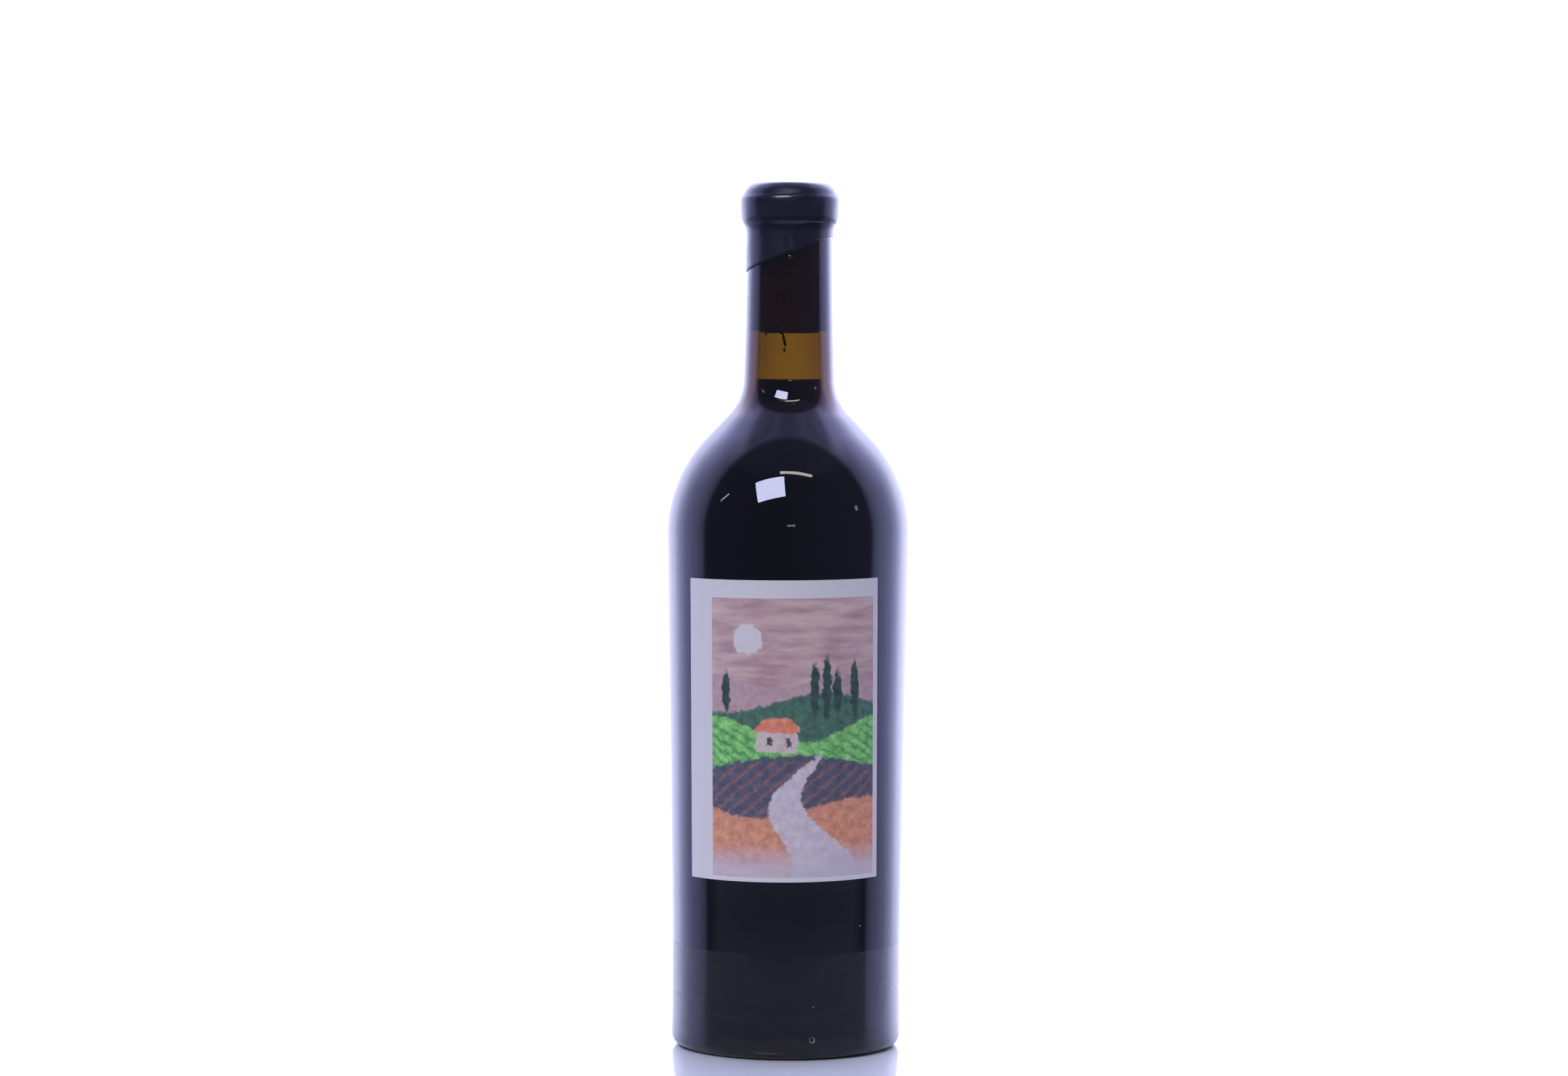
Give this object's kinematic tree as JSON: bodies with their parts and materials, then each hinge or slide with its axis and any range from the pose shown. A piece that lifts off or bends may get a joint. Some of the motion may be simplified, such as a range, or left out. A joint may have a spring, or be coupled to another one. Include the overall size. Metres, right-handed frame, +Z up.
{
  "type": "wine bottle",
  "caption": "Shut and full dark glass wine bottle with a conical body, a round shoulder and a slim neck, dipped in black wax at the top, with a wide paper label.",
  "frame": {"origin": "centre of the ring that the bottle rests on", "axes": "+Z up along the bottle's axis to the mouth, -Y towards the middle of the label, +X to the right when the label is looked at"},
  "size_m": [0.084, 0.0843, 0.298],
  "materials": {
    "glass": "dark amber glass, polished by the mould and the fire",
    "wine": "dark red wine, clear and still",
    "cork": "natural cork, matt",
    "wax": "black sealing wax with a soft gloss",
    "paper": "uncoated label paper with a printed panel"
  },
  "bodies": {
    "root": {"bottle_glass": "glass", "wine": "wine", "cork": "cork", "wax_cap": "wax", "label": "paper"}
  },
  "joints": []
}
